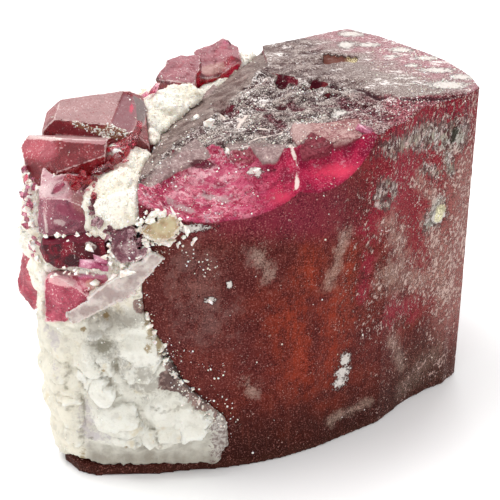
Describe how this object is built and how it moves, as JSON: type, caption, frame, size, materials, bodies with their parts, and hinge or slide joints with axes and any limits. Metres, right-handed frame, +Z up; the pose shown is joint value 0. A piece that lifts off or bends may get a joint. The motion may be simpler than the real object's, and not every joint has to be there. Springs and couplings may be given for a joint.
{
  "type": "tourmaline crystal specimen",
  "caption": "Red to brown tourmaline crystal with a broken, sloping top, white albite down its left side and smaller pink tourmaline crystals set in the albite, standing on a flat base",
  "frame": {"origin": "middle of the bounding box's base, on the surface the specimen stands on", "axes": "+Z up along the prism, +X to the right in the view that shows the albite on the left, +Y away from that view"},
  "size_m": [0.0472, 0.0406, 0.036],
  "materials": {
    "dark_tourmaline": "natural prism face, translucent, satin to glossy, with a corroded top",
    "pink_tourmaline": "translucent, glossy crystal faces",
    "albite": "massive and sugary, matt with small bright cleavages",
    "feldspar": "grainy, satin"
  },
  "bodies": {
    "root": {"main_crystal": "dark_tourmaline", "albite_matrix": "albite", "upper_left_crystals": "pink_tourmaline", "middle_left_crystal": "pink_tourmaline", "hollow_left_crystal": "pink_tourmaline", "corroded_left_crystal": "dark_tourmaline", "lower_left_crystals": "pink_tourmaline", "left_edge_crystal": "pink_tourmaline", "rear_crystals": "pink_tourmaline", "feldspar_grain": "feldspar", "albite_blade": "albite"}
  },
  "joints": []
}
